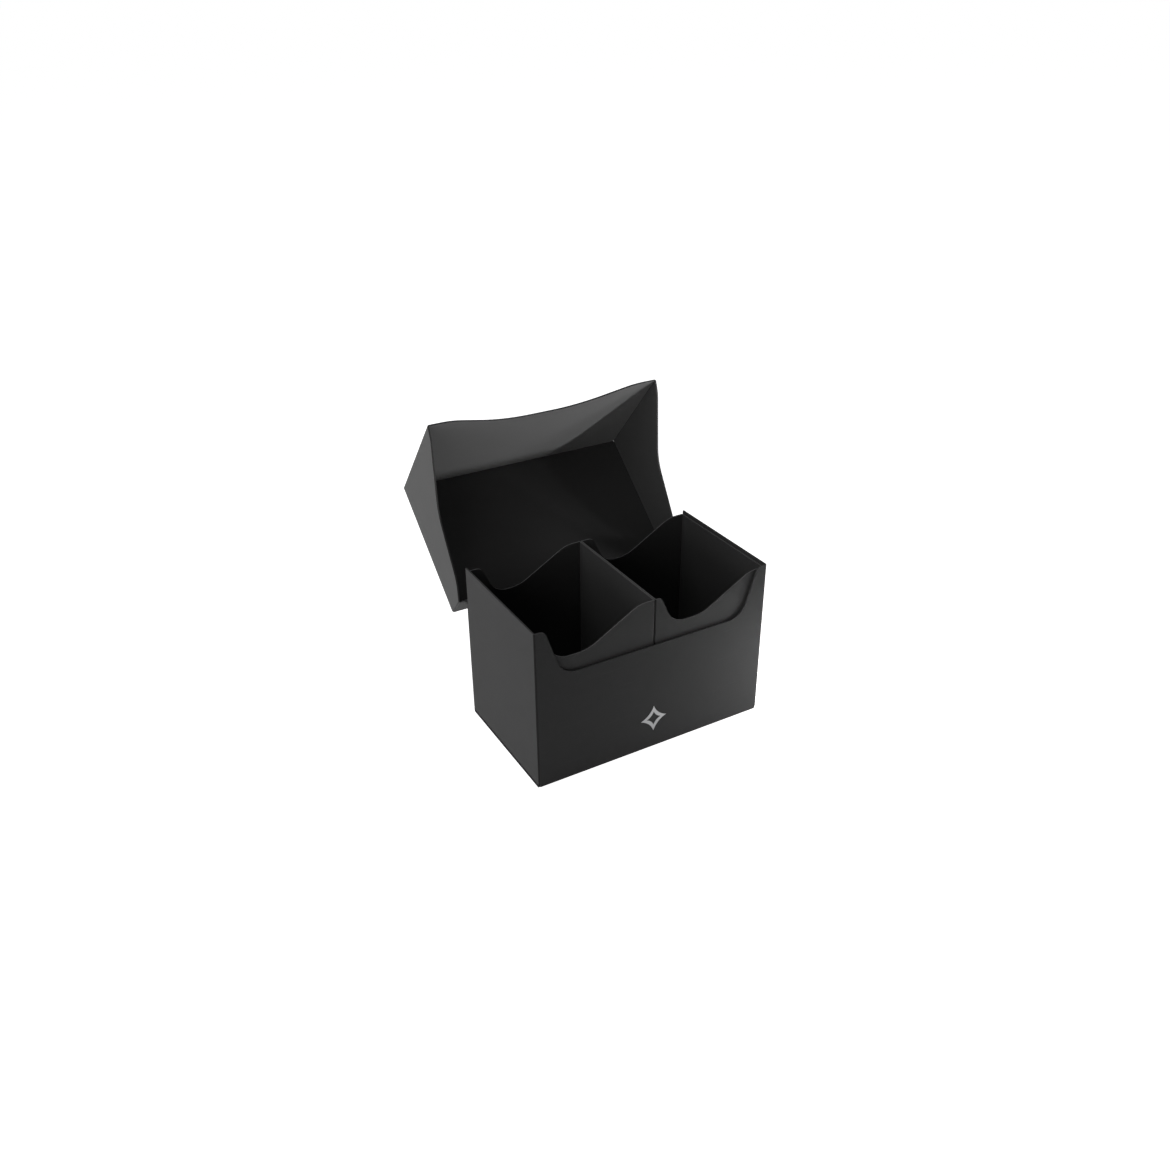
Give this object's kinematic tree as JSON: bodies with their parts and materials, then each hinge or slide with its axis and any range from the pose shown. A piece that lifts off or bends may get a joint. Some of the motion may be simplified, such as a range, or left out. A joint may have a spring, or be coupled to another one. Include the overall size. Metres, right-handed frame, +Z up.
{
  "type": "double deck card box",
  "caption": "Hinged-lid storage box of folded plastic sheet with two side-by-side card wells, wavy finger cut-outs and a lid that swings back on a two-crease hinge.",
  "frame": {"origin": "middle of the underside of the case", "axes": "X across the box to the viewer's right, Y from the front wall to the hinge, +Z up"},
  "size_m": [0.1466, 0.1639, 0.1669],
  "materials": {
    "case_plastic": "satin",
    "well_plastic": "satin",
    "adhesive_film": "matte",
    "foam_pad": "matte",
    "silver_foil": "bright"
  },
  "bodies": {
    "case": {"case_sheet": "case_plastic", "tab_tape_left": "adhesive_film", "tab_tape_right": "adhesive_film", "well_left": "well_plastic", "well_right": "well_plastic", "well_pad_left": "foam_pad", "well_pad_right": "foam_pad", "foil_mark": "silver_foil"},
    "hinge_strip": {"hinge_strip": "case_plastic"},
    "lid": {"lid_sheet": "case_plastic"}
  },
  "joints": [
    {"name": "lower_crease", "type": "hinge", "parent": "case", "child": "hinge_strip", "pos_m": [0, 0.0407, 0.0724], "axis": [-1, 0, 0], "range_deg": [-108, 40]},
    {"name": "upper_crease", "type": "hinge", "parent": "hinge_strip", "child": "lid", "pos_m": [0, 0.04983, 0.06943], "axis": [-1, 0, 0], "range_deg": [-31.2, 8]}
  ]
}
